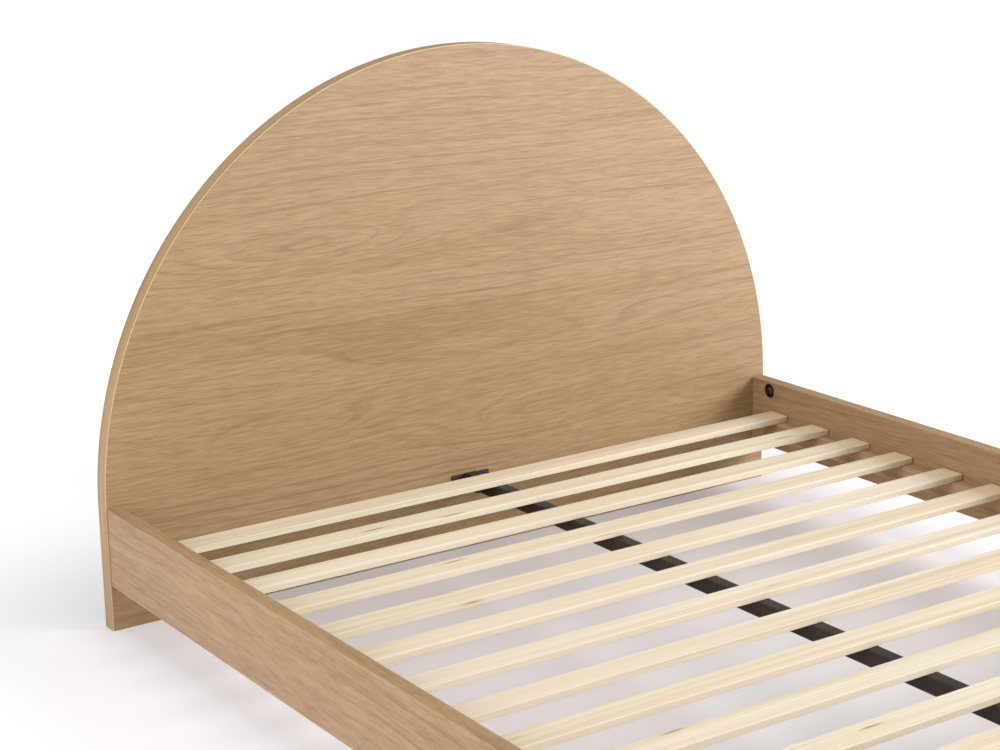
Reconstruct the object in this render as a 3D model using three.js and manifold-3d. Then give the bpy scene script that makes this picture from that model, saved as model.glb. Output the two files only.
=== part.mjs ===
// Queen-size bed frame with an arched headboard, for a mattress of about 1530 x 2030 mm.
// Millimetres, +Z up, +Y towards the headboard, +X to the right of somebody looking at the headboard.
// The origin is on the floor, midway between the two sides and midway between the two end panels.
//
// Two laminated panels stand on the floor. The side rails hang between them on cam locks and dowels.
// A ledger on each rail and a steel beam along the middle carry the slats.

import * as THREE from 'three';
import { mergeVertices } from 'three/addons/utils/BufferGeometryUtils.js';
import Module from 'manifold-3d';

const wasm = await Module();
wasm.setup();

// ---------------------------------------------------------------- driving dimensions

const BED_WIDTH = 1600;
const INNER_LENGTH = 2040;
const HALF_WIDTH = BED_WIDTH / 2;
const HALF_INNER = INNER_LENGTH / 2;

const PANEL_THICKNESS = 34;
const HEADBOARD_BASE = 237; // height at which the straight sides turn into the half circle
const ARCH_SEGMENTS = 32; // half the number of chords round the half circle
const BAND_THICKNESS = 2;
const GLUE_LINE = 0.2;

const RAIL_TOP = 240;
const RAIL_HEIGHT = 150;
const RAIL_THICKNESS = 28;
const RAIL_SETBACK = 2.5; // how far the rail's outer face sits inside the panel's edge
const RAIL_OUTER = HALF_WIDTH - RAIL_SETBACK;
const RAIL_INNER = RAIL_OUTER - RAIL_THICKNESS;
const RAIL_BOTTOM = RAIL_TOP - RAIL_HEIGHT;
const RAIL_MIDDLE = RAIL_OUTER - RAIL_THICKNESS / 2;

const SLAT_WIDTH = 53;
const SLAT_THICKNESS = 13;
const SLAT_TOP = 175;
const SLAT_UNDERSIDE = SLAT_TOP - SLAT_THICKNESS;
const SLAT_END_GAP = 1.5;
const SLAT_EDGE_RADIUS = 2.5;
const SLAT_CORNER_SEGMENTS = 1;
const SLAT_PITCH = 132.9;
const FIRST_SLAT_GAP = 66; // from the headboard to the first slat
// The slats are laid by hand, so each is a few millimetres off its even place (+ is towards the head).
const SLAT_SHIFTS = [0, 1, 7, 13, 7, 9, 2, 0, 2, 2, -6, -2, -3, 1, 0];

const LEDGER_WIDTH = 30;
const LEDGER_HEIGHT = 38;
const LEDGER_END_GAP = 72; // keeps the ledger clear of the lower cam locks

const BEAM_X = 5; // the beam sits a little to the right of the middle
const BEAM_WIDTH = 28;
const BEAM_HEIGHT = 29;
const BEAM_WALL = 1.5;
const BEAM_BOTTOM = SLAT_UNDERSIDE - BEAM_HEIGHT;
const BRACKET_STEEL = 3;
const BEAM_END_GAP = 1;
const BRACKET_PLATE_WIDTH = 90;
const BRACKET_PLATE_BOTTOM = 120;
const BRACKET_PLATE_TOP = 160;
const CRADLE_LENGTH = 45;
const CRADLE_SIDE_TOP = 156;
const CRADLE_CLEARANCE = 0.5;
const BRACKET_SCREW_REACH = 34; // from the middle of the beam
const BRACKET_SCREW_Z = 140;
const SCREW_HOLE_RADIUS = 2.5;
const SCREW_LENGTH = 20;

const BEAM_BOLT_FROM_HEAD = [512, 1512]; // distances of the beam's bolts from the headboard
const BEAM_BOLT_RADIUS = 4;
const BEAM_BOLT_HOLE_RADIUS = 4.3;
const NUT_RADIUS = 7.5; // to its corners
const NUT_HEIGHT = 6.5;
const BOLT_BEYOND_NUT = 2;
const SEAT_GAP = 0.3;

const CAM_FROM_END = 54; // cam centre to the end of the rail
const CAM_LEVELS = { upper: 218, lower: 123 };
const CAM_RADIUS = 15.5;
const CAM_LENGTH = 19;
const CAM_RECESS = 3;
const CAM_BORE_RADIUS = 16.5;
const CAM_BORE_DEPTH = 22.5;
const CAM_TURN = 165; // degrees from locked to open
const CAM_CORE_RADIUS = 5.5;
const CAM_CHAMBER_RADIUS = 10.2;
const CAM_CHAMBER_WIDTH = 10.4;
const CAM_CHAMBER_MARGIN = 42; // degrees of room beyond the bolt's axis at each end of the turn
const CAM_SLOT_WIDTH = 6.4;
const CAM_SLOT_MARGIN = 20;
const CROSS_REACH = 7;
const CROSS_HALF_WIDTH = 1.1;
const CROSS_DEPTH = 3;
const CAM_SEGMENTS = 28;
const CAM_ARC_SEGMENTS = 7;
const BOLT_DEPTH_IN_CAM = CAM_RECESS - RAIL_THICKNESS / 2; // the bolt's axis below the cam's face
const BOLT_THREAD_RADIUS = 3.4;
const BOLT_THREAD_LENGTH = 22;
const BOLT_NECK_RADIUS = 2.6;
const BOLT_HEAD_RADIUS = 4.4;
const BOLT_HEAD_FROM_CAM = [8.8, 6]; // the head's two faces, from the cam's axis
const BOLT_HOLE_IN_PANEL = 3.6;
const BOLT_HOLE_IN_RAIL = 4.8;

const DOWEL_LEVEL = 170;
const DOWEL_RADIUS = 4;
const DOWEL_IN_PANEL = 23;
const DOWEL_IN_RAIL = 27;

const X = new THREE.Vector3(1, 0, 0);
const Y = new THREE.Vector3(0, 1, 0);
const Z = new THREE.Vector3(0, 0, 1);

// ---------------------------------------------------------------- materials

function surface(name, color, roughness, metalness = 0) {
  return () => new THREE.MeshStandardMaterial({ name, color, roughness, metalness });
}

const oakLaminate = surface('oak_laminate', 0xbb9c74, 0.5);
const oakEdge = surface('oak_edge', 0xb89468, 0.55);
const paleWood = surface('pale_wood', 0xe7d8ba, 0.6);
const brownWood = surface('brown_wood', 0x8c6a4c, 0.65);
const dowelWood = surface('dowel_wood', 0xd9c29a, 0.7);
const blackSteel = surface('black_steel', 0x37302f, 0.5, 0.6);
const zinc = surface('zinc', 0x9a9a96, 0.4, 0.9);

// ---------------------------------------------------------------- geometry helpers

function toSolid(geometry) {
  const bare = geometry.clone();
  bare.deleteAttribute('normal');
  bare.deleteAttribute('uv');
  const merged = mergeVertices(bare, 1e-4);
  const mesh = new wasm.Mesh({
    numProp: 3,
    vertProperties: new Float32Array(merged.attributes.position.array),
    triVerts: new Uint32Array(merged.index.array),
  });
  return new wasm.Manifold(mesh);
}

function toGeometry(solid) {
  const mesh = solid.getMesh();
  const geometry = new THREE.BufferGeometry();
  geometry.setAttribute('position', new THREE.BufferAttribute(mesh.vertProperties, 3));
  geometry.setIndex(new THREE.BufferAttribute(mesh.triVerts, 1));
  geometry.computeVertexNormals();
  return geometry;
}

function join(...geometries) {
  return toGeometry(geometries.map(toSolid).reduce((whole, piece) => whole.add(piece)));
}

function cut(geometry, tools) {
  return toGeometry(tools.reduce((rest, tool) => rest.subtract(toSolid(tool)), toSolid(geometry)));
}

function block([x0, x1], [y0, y1], [z0, z1]) {
  const box = new THREE.BoxGeometry(Math.abs(x1 - x0), Math.abs(y1 - y0), Math.abs(z1 - z0));
  return box.translate((x0 + x1) / 2, (y0 + y1) / 2, (z0 + z1) / 2);
}

// A cylinder from point a to point b.
function rod(radius, a, b, segments = 14) {
  const from = new THREE.Vector3(...a);
  const to = new THREE.Vector3(...b);
  const along = to.clone().sub(from);
  const cylinder = new THREE.CylinderGeometry(radius, radius, along.length(), segments);
  const turn = new THREE.Quaternion().setFromUnitVectors(Y, along.clone().normalize());
  cylinder.applyQuaternion(turn);
  const middle = from.add(to).multiplyScalar(0.5);
  return cylinder.translate(middle.x, middle.y, middle.z);
}

// A shape drawn in x and z, given depth along Y from y0 to y1.
function extrudeAlongY(shape, y0, y1, curveSegments = 12) {
  const geometry = new THREE.ExtrudeGeometry(shape, {
    depth: y1 - y0, bevelEnabled: false, curveSegments,
  });
  geometry.applyMatrix4(new THREE.Matrix4().makeBasis(X, Z, Y.clone().negate()));
  return geometry.translate(0, y1, 0);
}

// A shape drawn in y and z, given depth along X from x0 to x1.
function extrudeAlongX(shape, x0, x1, curveSegments = 12) {
  const geometry = new THREE.ExtrudeGeometry(shape, {
    depth: x1 - x0, bevelEnabled: false, curveSegments,
  });
  geometry.applyMatrix4(new THREE.Matrix4().makeBasis(Y, Z, X));
  return geometry.translate(x0, 0, 0);
}

// A turned piece on the Z axis, from [radius, height] pairs that start and end on the axis.
function turned(profile, segments = 14) {
  const points = profile.map(([radius, height]) => new THREE.Vector2(radius, height));
  return new THREE.LatheGeometry(points, segments).rotateX(Math.PI / 2);
}

function roundedRectangle(width, height, radius, centreX = 0, bottom = 0) {
  const left = centreX - width / 2;
  const right = centreX + width / 2;
  const top = bottom + height;
  const shape = new THREE.Shape();
  shape.moveTo(left + radius, bottom);
  shape.lineTo(right - radius, bottom);
  shape.absarc(right - radius, bottom + radius, radius, -Math.PI / 2, 0);
  shape.lineTo(right, top - radius);
  shape.absarc(right - radius, top - radius, radius, 0, Math.PI / 2);
  shape.lineTo(left + radius, top);
  shape.absarc(left + radius, top - radius, radius, Math.PI / 2, Math.PI);
  shape.lineTo(left, bottom + radius);
  shape.absarc(left + radius, bottom + radius, radius, Math.PI, 1.5 * Math.PI);
  return shape;
}

// ---------------------------------------------------------------- where the parts meet

const ENDS = { head: 1, foot: -1 };
const SIDES = { left: -1, right: 1 };

// The face of each end panel that the rails butt against.
const panelFace = (end) => ENDS[end] * HALF_INNER;

// Calls back for each of the eight places where a rail is locked to an end panel.
function eachCam(callback) {
  for (const end of Object.keys(ENDS)) {
    for (const side of Object.keys(SIDES)) {
      for (const level of Object.keys(CAM_LEVELS)) {
        callback(end, side, level);
      }
    }
  }
}

// Blind holes that the cam bolts, dowels and bracket screws need in an end panel.
function panelHoles(end) {
  const face = panelFace(end);
  const inwards = ENDS[end];
  const drill = (radius, x, z, depth) => rod(radius, [x, face - inwards, z], [x, face + inwards * depth, z]);
  const holes = [];
  for (const side of Object.values(SIDES)) {
    for (const z of Object.values(CAM_LEVELS)) {
      holes.push(drill(BOLT_HOLE_IN_PANEL, side * RAIL_MIDDLE, z, BOLT_THREAD_LENGTH + 1));
    }
    holes.push(drill(DOWEL_RADIUS + SEAT_GAP, side * RAIL_MIDDLE, DOWEL_LEVEL, DOWEL_IN_PANEL + 1));
    const screwX = BEAM_X + side * BRACKET_SCREW_REACH;
    holes.push(drill(SCREW_HOLE_RADIUS, screwX, BRACKET_SCREW_Z, SCREW_LENGTH));
  }
  return holes;
}

// ---------------------------------------------------------------- end panels

function archOutline(radius) {
  const outline = new THREE.Shape();
  outline.moveTo(-radius, 0);
  outline.lineTo(radius, 0);
  outline.lineTo(radius, HEADBOARD_BASE);
  outline.absarc(0, HEADBOARD_BASE, radius, 0, Math.PI);
  return outline;
}

function headboardPanel() {
  const outline = archOutline(HALF_WIDTH - BAND_THICKNESS - GLUE_LINE);
  const slab = extrudeAlongY(outline, HALF_INNER, HALF_INNER + PANEL_THICKNESS, ARCH_SEGMENTS);
  return cut(slab, panelHoles('head'));
}

function headboardEdgeBand() {
  const inner = HALF_WIDTH - BAND_THICKNESS;
  const outline = new THREE.Shape();
  outline.moveTo(HALF_WIDTH, 0);
  outline.lineTo(HALF_WIDTH, HEADBOARD_BASE);
  outline.absarc(0, HEADBOARD_BASE, HALF_WIDTH, 0, Math.PI);
  outline.lineTo(-HALF_WIDTH, 0);
  outline.lineTo(-inner, 0);
  outline.lineTo(-inner, HEADBOARD_BASE);
  outline.absarc(0, HEADBOARD_BASE, inner, Math.PI, 0, true);
  outline.lineTo(inner, 0);
  return extrudeAlongY(outline, HALF_INNER, HALF_INNER + PANEL_THICKNESS, ARCH_SEGMENTS);
}

function footPanel() {
  const inset = BAND_THICKNESS + GLUE_LINE;
  const slab = block(
    [inset - HALF_WIDTH, HALF_WIDTH - inset],
    [-HALF_INNER - PANEL_THICKNESS, -HALF_INNER],
    [0, RAIL_TOP - inset],
  );
  return cut(slab, panelHoles('foot'));
}

function footPanelEdgeBand() {
  const inner = HALF_WIDTH - BAND_THICKNESS;
  const corners = [
    [HALF_WIDTH, 0], [HALF_WIDTH, RAIL_TOP], [-HALF_WIDTH, RAIL_TOP], [-HALF_WIDTH, 0],
    [-inner, 0], [-inner, RAIL_TOP - BAND_THICKNESS], [inner, RAIL_TOP - BAND_THICKNESS], [inner, 0],
  ];
  const outline = new THREE.Shape(corners.map(([x, z]) => new THREE.Vector2(x, z)));
  return extrudeAlongY(outline, -HALF_INNER - PANEL_THICKNESS, -HALF_INNER);
}

// ---------------------------------------------------------------- side rails and ledgers

function sideRail(side) {
  const sign = SIDES[side];
  const board = block(
    [sign * RAIL_INNER, sign * RAIL_OUTER], [-HALF_INNER, HALF_INNER], [RAIL_BOTTOM, RAIL_TOP],
  );
  const tools = [];
  for (const end of Object.values(ENDS)) {
    const face = end * (HALF_INNER + 1);
    const camY = end * (HALF_INNER - CAM_FROM_END);
    for (const z of Object.values(CAM_LEVELS)) {
      const mouth = [sign * (RAIL_INNER - 1), camY, z];
      const floor = [sign * (RAIL_INNER + CAM_BORE_DEPTH), camY, z];
      tools.push(rod(CAM_BORE_RADIUS, mouth, floor, CAM_SEGMENTS));
      tools.push(rod(BOLT_HOLE_IN_RAIL, [sign * RAIL_MIDDLE, face, z], [sign * RAIL_MIDDLE, camY, z]));
    }
    const dowelFloor = end * (HALF_INNER - DOWEL_IN_RAIL - 1);
    tools.push(rod(
      DOWEL_RADIUS + SEAT_GAP,
      [sign * RAIL_MIDDLE, face, DOWEL_LEVEL],
      [sign * RAIL_MIDDLE, dowelFloor, DOWEL_LEVEL],
    ));
  }
  return cut(board, tools);
}

function ledger(side) {
  const sign = SIDES[side];
  const end = HALF_INNER - LEDGER_END_GAP;
  return block(
    [sign * (RAIL_INNER - LEDGER_WIDTH), sign * RAIL_INNER],
    [-end, end],
    [SLAT_UNDERSIDE - LEDGER_HEIGHT, SLAT_UNDERSIDE],
  );
}

// ---------------------------------------------------------------- slats

function slat(index) {
  const farEdge = HALF_INNER - FIRST_SLAT_GAP - index * SLAT_PITCH + SLAT_SHIFTS[index];
  const section = roundedRectangle(
    SLAT_WIDTH, SLAT_THICKNESS, SLAT_EDGE_RADIUS, farEdge - SLAT_WIDTH / 2, SLAT_UNDERSIDE,
  );
  const halfLength = RAIL_INNER - SLAT_END_GAP;
  return extrudeAlongX(section, -halfLength, halfLength, SLAT_CORNER_SEGMENTS);
}

// ---------------------------------------------------------------- centre beam, brackets and bolts

function centreBeam() {
  const halfLength = HALF_INNER - BRACKET_STEEL - BEAM_END_GAP;
  const section = roundedRectangle(BEAM_WIDTH, BEAM_HEIGHT, 3, BEAM_X, BEAM_BOTTOM);
  section.holes.push(roundedRectangle(
    BEAM_WIDTH - 2 * BEAM_WALL, BEAM_HEIGHT - 2 * BEAM_WALL, 1.5, BEAM_X, BEAM_BOTTOM + BEAM_WALL,
  ));
  const tube = extrudeAlongY(section, -halfLength, halfLength, 2);
  const bores = BEAM_BOLT_FROM_HEAD.map((distance) => {
    const y = HALF_INNER - distance;
    return rod(BEAM_BOLT_HOLE_RADIUS, [BEAM_X, y, BEAM_BOTTOM - 1], [BEAM_X, y, SLAT_UNDERSIDE + 1]);
  });
  return cut(tube, bores);
}

function beamBracket(end) {
  const face = panelFace(end);
  const out = -ENDS[end];
  const plateHalf = BRACKET_PLATE_WIDTH / 2;
  const plate = block(
    [-plateHalf, plateHalf],
    [face, face + out * BRACKET_STEEL],
    [BRACKET_PLATE_BOTTOM, BRACKET_PLATE_TOP],
  );
  const inner = BEAM_WIDTH / 2 + CRADLE_CLEARANCE;
  const outer = inner + BRACKET_STEEL;
  const along = [face, face + out * (BRACKET_STEEL + CRADLE_LENGTH)];
  const cradleFloor = block([-outer, outer], along, [BEAM_BOTTOM - BRACKET_STEEL, BEAM_BOTTOM]);
  const leftCheek = block([-outer, -inner], along, [BEAM_BOTTOM - BRACKET_STEEL, CRADLE_SIDE_TOP]);
  const rightCheek = block([inner, outer], along, [BEAM_BOTTOM - BRACKET_STEEL, CRADLE_SIDE_TOP]);
  const holes = Object.values(SIDES).map((side) => rod(
    SCREW_HOLE_RADIUS,
    [side * BRACKET_SCREW_REACH, face - out, BRACKET_SCREW_Z],
    [side * BRACKET_SCREW_REACH, face + out * (BRACKET_STEEL + 1), BRACKET_SCREW_Z],
  ));
  return cut(join(plate, cradleFloor, leftCheek, rightCheek), holes).translate(BEAM_X, 0, 0);
}

// The pan-head screw points along -Z, with the underside of its head at z = 0.
function bracketScrew() {
  const tip = -SCREW_LENGTH;
  return turned([
    [0, tip], [1.2, tip + 1.5], [2.2, tip + 4], [2.2, 0], [4.2, 0], [4.2, 1], [3.2, 2.3], [0, 2.8],
  ]);
}

// The bolt points along -Z, with the underside of its domed head at z = 0.
function beamBolt() {
  const tip = -(BEAM_HEIGHT + NUT_HEIGHT + BOLT_BEYOND_NUT);
  const radius = BEAM_BOLT_RADIUS;
  return turned([
    [0, tip], [radius - 0.6, tip], [radius, tip + 1], [radius, 0],
    [6.5, 0], [6.5, 0.8], [4.8, 2.7], [0, 3.5],
  ], 20);
}

// The hexagon nut hangs below z = 0, the underside of the beam.
function beamNut() {
  const hexagon = rod(NUT_RADIUS, [0, 0, -NUT_HEIGHT], [0, 0, 0], 6);
  return cut(hexagon, [rod(BEAM_BOLT_HOLE_RADIUS, [0, 0, -NUT_HEIGHT - 1], [0, 0, 1], 20)]);
}

// ---------------------------------------------------------------- cam locks, cam bolts and dowels

// A ring sector around the cam's axis, centred on the depth of the bolt.
function camSector(innerRadius, outerRadius, width, margin) {
  const start = THREE.MathUtils.degToRad(-CAM_TURN - margin);
  const stop = THREE.MathUtils.degToRad(margin);
  const outline = new THREE.Shape();
  outline.absarc(0, 0, outerRadius, start, stop);
  outline.absarc(0, 0, innerRadius, stop, start, true);
  const sector = new THREE.ExtrudeGeometry(outline, {
    depth: width, bevelEnabled: false, curveSegments: CAM_ARC_SEGMENTS,
  });
  return sector.translate(0, 0, BOLT_DEPTH_IN_CAM - width / 2);
}

// The cam's axis is Z and its face with the screwdriver cross is at z = 0. At rest the bolt comes in
// along +X: its head sits in a chamber behind two lips. Turned by CAM_TURN, it meets a round mouth.
function camLock() {
  const body = rod(CAM_RADIUS, [0, 0, -CAM_LENGTH], [0, 0, 0], CAM_SEGMENTS);
  const open = THREE.MathUtils.degToRad(-CAM_TURN);
  const reach = CAM_RADIUS + 1;
  return cut(body, [
    block([-CROSS_REACH, CROSS_REACH], [-CROSS_HALF_WIDTH, CROSS_HALF_WIDTH], [-CROSS_DEPTH, 1]),
    block([-CROSS_HALF_WIDTH, CROSS_HALF_WIDTH], [-CROSS_REACH, CROSS_REACH], [-CROSS_DEPTH, 1]),
    camSector(CAM_CORE_RADIUS, CAM_CHAMBER_RADIUS, CAM_CHAMBER_WIDTH, CAM_CHAMBER_MARGIN),
    camSector(CAM_CHAMBER_RADIUS - 0.5, reach, CAM_SLOT_WIDTH, CAM_SLOT_MARGIN),
    rod(
      CAM_CHAMBER_WIDTH / 2,
      [CAM_CORE_RADIUS * Math.cos(open), CAM_CORE_RADIUS * Math.sin(open), BOLT_DEPTH_IN_CAM],
      [reach * Math.cos(open), reach * Math.sin(open), BOLT_DEPTH_IN_CAM],
    ),
  ]);
}

// The cam bolt's thread is below z = 0, the panel's face, and its head is inside the cam.
function camBolt() {
  const [headBase, headTop] = BOLT_HEAD_FROM_CAM.map((distance) => CAM_FROM_END - distance);
  return turned([
    [0, -BOLT_THREAD_LENGTH], [BOLT_THREAD_RADIUS - 1, -BOLT_THREAD_LENGTH],
    [BOLT_THREAD_RADIUS, 1.5 - BOLT_THREAD_LENGTH], [BOLT_THREAD_RADIUS, 0],
    [BOLT_NECK_RADIUS, 0.5], [BOLT_NECK_RADIUS, headBase],
    [BOLT_HEAD_RADIUS, headBase], [BOLT_HEAD_RADIUS, headTop], [0, headTop],
  ]);
}

function dowel() {
  return turned([
    [0, -DOWEL_IN_PANEL], [DOWEL_RADIUS - 1, -DOWEL_IN_PANEL], [DOWEL_RADIUS, 1 - DOWEL_IN_PANEL],
    [DOWEL_RADIUS, DOWEL_IN_RAIL - 1], [DOWEL_RADIUS - 1, DOWEL_IN_RAIL], [0, DOWEL_IN_RAIL],
  ]);
}

// ---------------------------------------------------------------- assembly

const bed = new THREE.Group();
bed.name = 'bed_frame';

function add(name, geometry, material, parent = bed) {
  const mesh = new THREE.Mesh(geometry, material());
  mesh.name = name;
  parent.add(mesh);
  return mesh;
}

// Turns a piece so that its own Z axis points along the given direction.
function aim(mesh, direction, [x, y, z]) {
  mesh.quaternion.setFromUnitVectors(Z, direction);
  mesh.position.set(x, y, z);
}

add('headboard_panel', headboardPanel(), oakLaminate);
add('headboard_edge_band', headboardEdgeBand(), oakEdge);
add('foot_panel', footPanel(), oakLaminate);
add('foot_panel_edge_band', footPanelEdgeBand(), oakEdge);

for (const side of Object.keys(SIDES)) {
  add(`${side}_side_rail`, sideRail(side), oakLaminate);
  add(`${side}_slat_ledger`, ledger(side), brownWood);
}

for (let index = 0; index < SLAT_SHIFTS.length; index += 1) {
  add(`slat_${String(index + 1).padStart(2, '0')}`, slat(index), paleWood);
}

add('centre_beam', centreBeam(), blackSteel);

for (const [end, inwards] of Object.entries(ENDS)) {
  add(`${end}_beam_bracket`, beamBracket(end), blackSteel);
  for (const [side, sign] of Object.entries(SIDES)) {
    const screw = add(`${end}_bracket_${side}_screw`, bracketScrew(), zinc);
    const seat = panelFace(end) - inwards * BRACKET_STEEL;
    aim(screw, Y.clone().multiplyScalar(-inwards), [BEAM_X + sign * BRACKET_SCREW_REACH, seat, BRACKET_SCREW_Z]);
  }
}

BEAM_BOLT_FROM_HEAD.forEach((distance, index) => {
  const y = HALF_INNER - distance;
  const end = Object.keys(ENDS)[index];
  add(`${end}_beam_bolt`, beamBolt(), blackSteel).position.set(BEAM_X, y, SLAT_UNDERSIDE);
  add(`${end}_beam_nut`, beamNut(), blackSteel).position.set(BEAM_X, y, BEAM_BOTTOM);
});

eachCam((end, side, level) => {
  const towardsPanel = Y.clone().multiplyScalar(ENDS[end]);
  const outOfRail = X.clone().multiplyScalar(-SIDES[side]);
  const height = CAM_LEVELS[level];

  const cam = add(`${end}_${side}_${level}_cam_lock`, camLock(), zinc);
  const turn = new THREE.Matrix4().makeBasis(towardsPanel, outOfRail.clone().cross(towardsPanel), outOfRail);
  cam.quaternion.setFromRotationMatrix(turn);
  cam.position.set(
    SIDES[side] * (RAIL_INNER + CAM_RECESS),
    ENDS[end] * (HALF_INNER - CAM_FROM_END),
    height,
  );

  const bolt = add(`${end}_${side}_${level}_cam_bolt`, camBolt(), zinc);
  aim(bolt, towardsPanel.clone().negate(), [SIDES[side] * RAIL_MIDDLE, panelFace(end), height]);
});

for (const [end, inwards] of Object.entries(ENDS)) {
  for (const [side, sign] of Object.entries(SIDES)) {
    const pin = add(`${end}_${side}_dowel`, dowel(), dowelWood);
    aim(pin, Y.clone().multiplyScalar(-inwards), [sign * RAIL_MIDDLE, panelFace(end), DOWEL_LEVEL]);
  }
}

export default bed;
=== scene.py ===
# Bed frame with an arched headboard. Metres, +Z up, +Y towards the headboard, -X is the left side.
# Every detailed piece takes its place and size from the CAD node that it stands for.

from math import atan2, cos, hypot, pi, radians, sin, tan

import bmesh
import bpy
from mathutils import Matrix, Vector


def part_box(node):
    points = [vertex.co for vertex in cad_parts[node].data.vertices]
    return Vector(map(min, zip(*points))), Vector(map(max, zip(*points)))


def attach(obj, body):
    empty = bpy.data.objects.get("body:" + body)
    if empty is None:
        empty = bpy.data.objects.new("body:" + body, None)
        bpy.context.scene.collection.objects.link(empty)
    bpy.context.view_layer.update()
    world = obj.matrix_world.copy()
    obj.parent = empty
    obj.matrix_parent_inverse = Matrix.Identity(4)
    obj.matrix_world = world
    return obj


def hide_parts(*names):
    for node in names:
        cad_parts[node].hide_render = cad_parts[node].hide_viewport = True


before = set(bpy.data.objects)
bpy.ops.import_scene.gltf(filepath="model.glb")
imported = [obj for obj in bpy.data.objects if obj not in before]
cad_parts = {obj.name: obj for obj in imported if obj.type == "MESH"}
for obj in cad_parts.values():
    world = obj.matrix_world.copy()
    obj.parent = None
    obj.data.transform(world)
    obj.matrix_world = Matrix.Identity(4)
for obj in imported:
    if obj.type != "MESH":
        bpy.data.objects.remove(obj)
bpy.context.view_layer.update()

MM = 0.001
ENDS = {"head": 1, "foot": -1}
SIDES = {"left": -1, "right": 1}
LEVELS = ("upper", "lower")
ROOT = "bed_frame"

# ------------------------------------------------------------------ sizes that only the looks need

CORNER_ANGLE = 32           # degrees; smooth shading stops at edges sharper than this
TOLERANCE = 0.1 * MM        # for telling on which side of an edge a point lies

BOARD_ARRIS = 0.9 * MM      # rounding along the edges of the rails
PANEL_ARRIS = 0.15 * MM     # the panels' faces are nearly sharp where they meet their edge bands
SLAT_ARRIS = 1.5 * MM
LEDGER_ARRIS = 1.2 * MM
WEAR_AND_HIGHLIGHT_BAND = 2 * MM          # how far the edge wear and painted highlight along an arris reach

BAND_THICKNESS = 2 * MM     # the edge bands
BAND_ARRIS = 0.8 * MM
BAND_WEAR_AND_HIGHLIGHT = 0.7 * MM
ARCH_STEPS = 128

DOWEL_HOLE = 4.3 * MM       # radii of the drilled holes
BOLT_HOLE = 3.6 * MM
RAIL_BOLT_HOLE = 4.8 * MM
SCREW_HOLE = 2.5 * MM
BEAM_BOLT_HOLE = 4.3 * MM
DRILL_OVERRUN = MM          # how far a drill passes the end of its hole

CAM_BORE_RADIUS = 16.5 * MM
CAM_BORE_DEPTH = 22.5 * MM
BORE_CHAMFER = 0.6 * MM
BORE_STEPS = 64
BORE_MARGIN = 19 * MM       # half the square of face round a bore, which ends short of the band of wear and painted highlight
BORE_WEAR_AND_HIGHLIGHT = 1.2 * MM        # how far the wear and painted highlight round a bore's mouth reach

BEAM_WALL = 1.5 * MM
BEAM_CORNER = 3 * MM
BEAM_CUT_EASE = 0.25 * MM   # the sawn ends of the tube are slightly eased
BRACKET_STEEL = 3 * MM
BRACKET_OUTER_BEND = 4 * MM
BRACKET_INNER_BEND = 1 * MM
BRACKET_CORNER = 1.5 * MM
BRACKET_BEVEL = 0.4 * MM
CRADLE_GAP = 0.5 * MM       # on each side, between the beam and the cradle that holds it
CRADLE_TOP = 156 * MM       # above the floor


# ------------------------------------------------------------------ mesh helpers

def to_object(bm, name):
    """Turns a bmesh into an object, with its faces outwards."""
    bmesh.ops.remove_doubles(bm, verts=bm.verts[:], dist=1e-7)
    bmesh.ops.recalc_face_normals(bm, faces=bm.faces[:])
    mesh = bpy.data.meshes.new(name)
    bm.to_mesh(mesh)
    bm.free()
    obj = bpy.data.objects.new(name, mesh)
    bpy.context.scene.collection.objects.link(obj)
    return obj


def shade(obj):
    """Smooth shading that stops at real corners."""
    for polygon in obj.data.polygons:
        polygon.use_smooth = True
    obj.data.set_sharp_from_angle(angle=radians(CORNER_ANGLE))


def settle(obj):
    """Applies an object's modifiers to its mesh."""
    graph = bpy.context.evaluated_depsgraph_get()
    result = bpy.data.meshes.new_from_object(obj.evaluated_get(graph))
    old = obj.data
    obj.modifiers.clear()
    obj.data = result
    bpy.data.meshes.remove(old)
    result.name = obj.name


def boolean(obj, tools, operation="DIFFERENCE"):
    """Cuts the tools out of an object, or joins them to it, and deletes the tools."""
    for tool in tools:
        modifier = obj.modifiers.new("boolean", "BOOLEAN")
        modifier.operation = operation
        modifier.solver = "EXACT"
        modifier.object = tool
    settle(obj)
    for tool in tools:
        mesh = tool.data
        bpy.data.objects.remove(tool)
        bpy.data.meshes.remove(mesh)


def place(obj, matrix):
    """Moves an object's mesh, so that the object itself stays at the origin."""
    obj.data.transform(matrix)
    return obj


def aimed(origin, direction):
    """The matrix that puts a piece's origin at a point and its Z axis along a direction."""
    turn = Vector(direction).to_track_quat("Z", "Y").to_matrix().to_4x4()
    return Matrix.Translation(origin) @ turn


def stations(half, radius, extras=()):
    """Places across one side of a box: round arris, end of the band of wear and painted highlight, and
    extras between.
    """
    outer = [half - radius + radius * tan(radians(angle)) for angle in (45, 22.5, 0)]
    outer.append(half - radius - WEAR_AND_HIGHLIGHT_BAND)
    return [-x for x in outer] + sorted(extras) + outer[::-1]


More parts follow.
